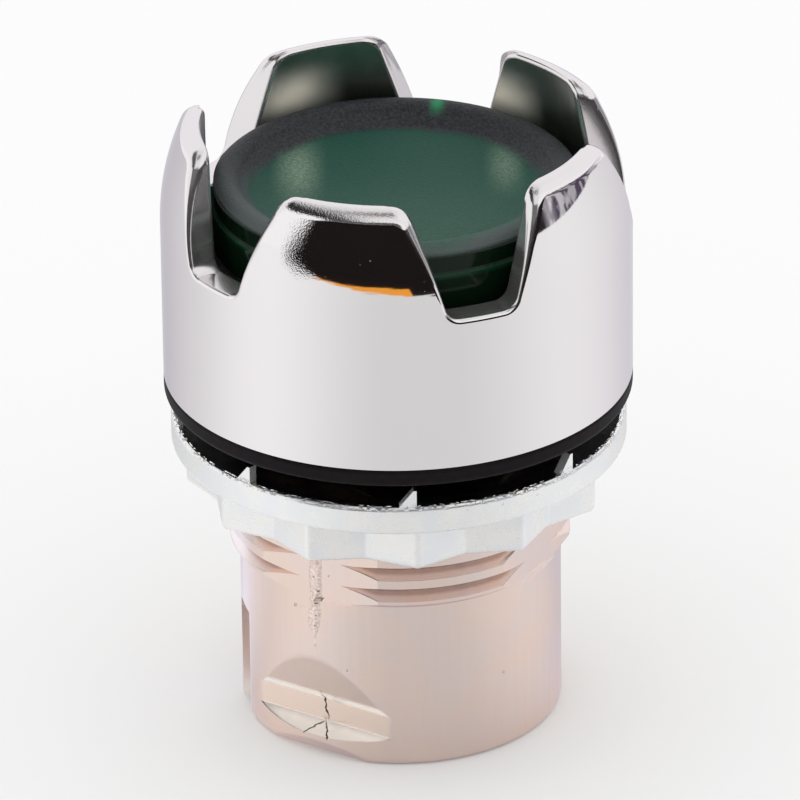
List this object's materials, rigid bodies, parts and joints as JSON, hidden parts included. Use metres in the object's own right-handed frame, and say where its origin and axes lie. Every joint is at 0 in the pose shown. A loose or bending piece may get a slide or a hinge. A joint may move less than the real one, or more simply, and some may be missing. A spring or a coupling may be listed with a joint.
{
  "type": "momentary push button",
  "caption": "Panel push button with a green pressed lens inside a chromed crown guard, an interrupted-thread barrel with bayonet recesses, a gasket and a toothed ring nut.",
  "frame": {"origin": "centre of the barrel's rear end", "axes": "+Z along the button's axis, from the barrel's rear end towards the lens; +X through the middle of one merlon of the guard; the bayonet recesses face -Y and +Y"},
  "size_m": [0.03, 0.03, 0.0408],
  "materials": {
    "chrome_plate": "bright polished chrome on a die casting",
    "nickel_barrel": "warm satin plating on a zinc die casting",
    "zinc_nut": "pale satin plating on a zinc die casting",
    "black_rubber": "matt black elastomer",
    "silicone_seal": "grey silicone",
    "green_lens": "translucent green, fine matt on top and glossy at the side",
    "white_diffuser": "milky white",
    "grey_plastic": "moulded grey, fine matt",
    "natural_plastic": "moulded natural, low sheen",
    "spring_steel": "drawn bright wire"
  },
  "bodies": {
    "barrel": {"barrel_body": "nickel_barrel", "guard_bezel": "chrome_plate", "panel_gasket": "black_rubber", "guard_o_ring": "black_rubber", "lip_seal": "silicone_seal", "seal_retainer": "grey_plastic", "guide_sleeve": "natural_plastic", "return_spring": "spring_steel"},
    "button": {"button_plunger": "grey_plastic", "lens_cap": "green_lens", "lens_seal": "silicone_seal", "diffuser": "white_diffuser", "retaining_ring": "spring_steel"},
    "nut": {"mounting_nut": "zinc_nut"}
  },
  "joints": [
    {"name": "button_press", "type": "slide", "parent": "barrel", "child": "button", "axis": [0, 0, -1], "range_m": [0, 0.004], "stiffness_N_per_m": 600, "springref_m": -0.0045, "deforming": ["return_spring"]},
    {"name": "nut_turn", "type": "hinge", "parent": "barrel", "child": "nut", "pos_m": [0, 0, 0.0183], "axis": [0, 0, 1], "continuous": true}
  ]
}
